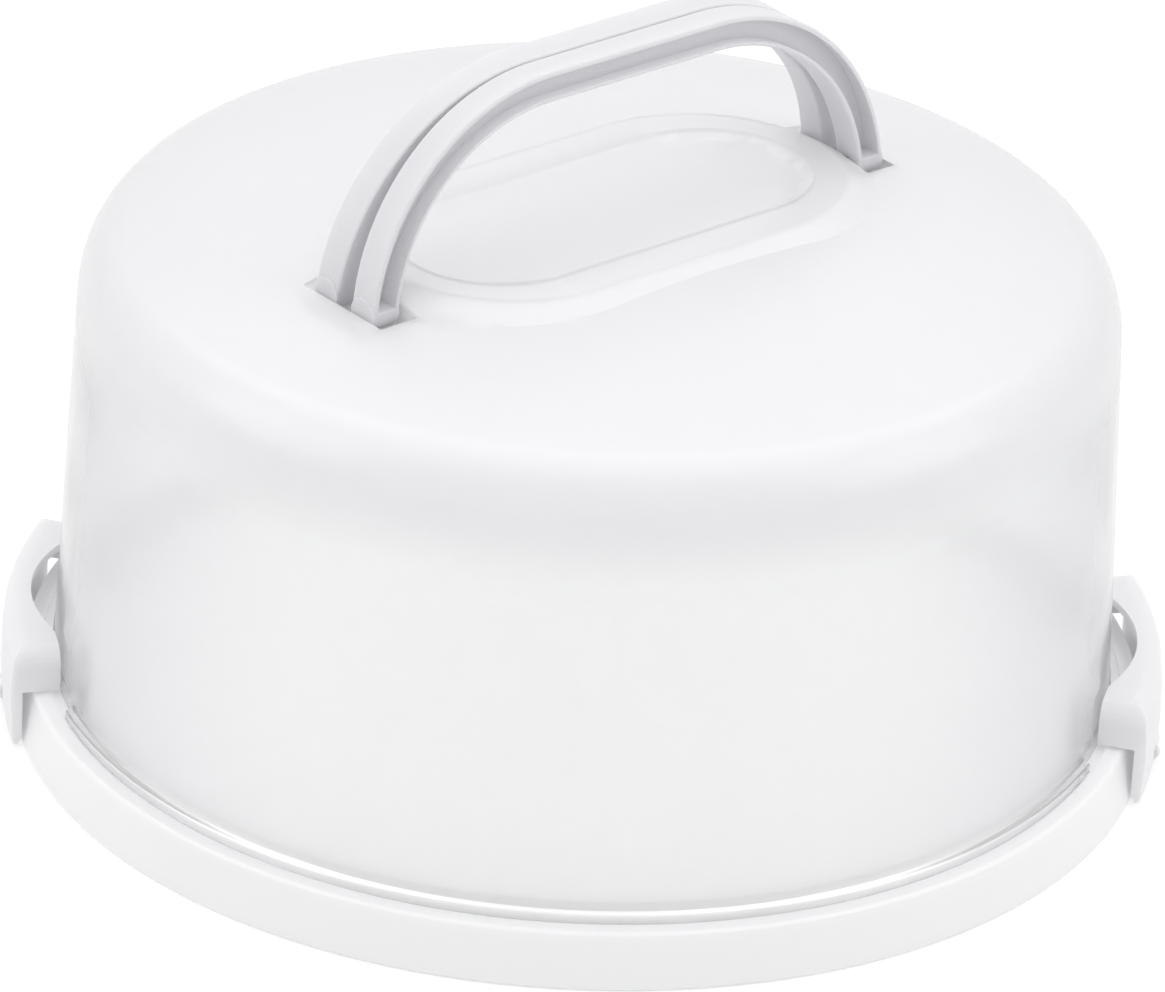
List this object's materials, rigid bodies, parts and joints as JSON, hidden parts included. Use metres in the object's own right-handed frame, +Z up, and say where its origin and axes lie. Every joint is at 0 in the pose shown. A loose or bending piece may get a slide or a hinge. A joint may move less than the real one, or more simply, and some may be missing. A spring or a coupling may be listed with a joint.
{
  "type": "cake carrier",
  "caption": "Round cake carrier with a flat base tray, a clear lift-off dome, swinging side latches and folding handle loops on top.",
  "frame": {"origin": "centre of the round base on the surface that it stands on", "axes": "+Z up; +X towards the right latch, -X towards the left latch; the handle axis is turned 41.4 degrees from +X towards +Y"},
  "size_m": [0.3176, 0.31, 0.2012],
  "materials": {
    "white_tray": "moulded white polypropylene, satin",
    "clear_dome": "natural translucent polypropylene, clear wall and frosted top",
    "white_handle": "moulded white polypropylene, satin",
    "white_latch": "moulded white polypropylene, satin",
    "steel_pin": "drawn wire"
  },
  "bodies": {
    "base": {"base_tray": "white_tray", "left_latch_pin": "steel_pin", "right_latch_pin": "steel_pin"},
    "dome": {"dome_cover": "clear_dome", "front_handle_left_pin": "steel_pin", "front_handle_right_pin": "steel_pin", "rear_handle_left_pin": "steel_pin", "rear_handle_right_pin": "steel_pin"},
    "front_loop": {"front_handle": "white_handle"},
    "rear_loop": {"rear_handle": "white_handle"},
    "left_catch": {"left_latch": "white_latch"},
    "right_catch": {"right_latch": "white_latch"}
  },
  "joints": [
    {"name": "dome_lift", "type": "slide", "parent": "base", "child": "dome", "axis": [0, 0, 1], "range_m": [0, 0.07]},
    {"name": "front_handle_fold", "type": "hinge", "parent": "dome", "child": "front_loop", "pos_m": [0.00503, -0.0057, 0.14649], "axis": [0.7501, 0.6613, 0], "range_deg": [0, 60]},
    {"name": "rear_handle_fold", "type": "hinge", "parent": "dome", "child": "rear_loop", "pos_m": [-0.00503, 0.0057, 0.14649], "axis": [-0.7501, -0.6613, 0], "range_deg": [0, 60]},
    {"name": "left_latch_swing", "type": "hinge", "parent": "base", "child": "left_catch", "pos_m": [-0.1563, 0, 0.0034], "axis": [0, -1, 0], "range_deg": [0, 90]},
    {"name": "right_latch_swing", "type": "hinge", "parent": "base", "child": "right_catch", "pos_m": [0.1563, 0, 0.0034], "axis": [0, 1, 0], "range_deg": [0, 90]}
  ]
}
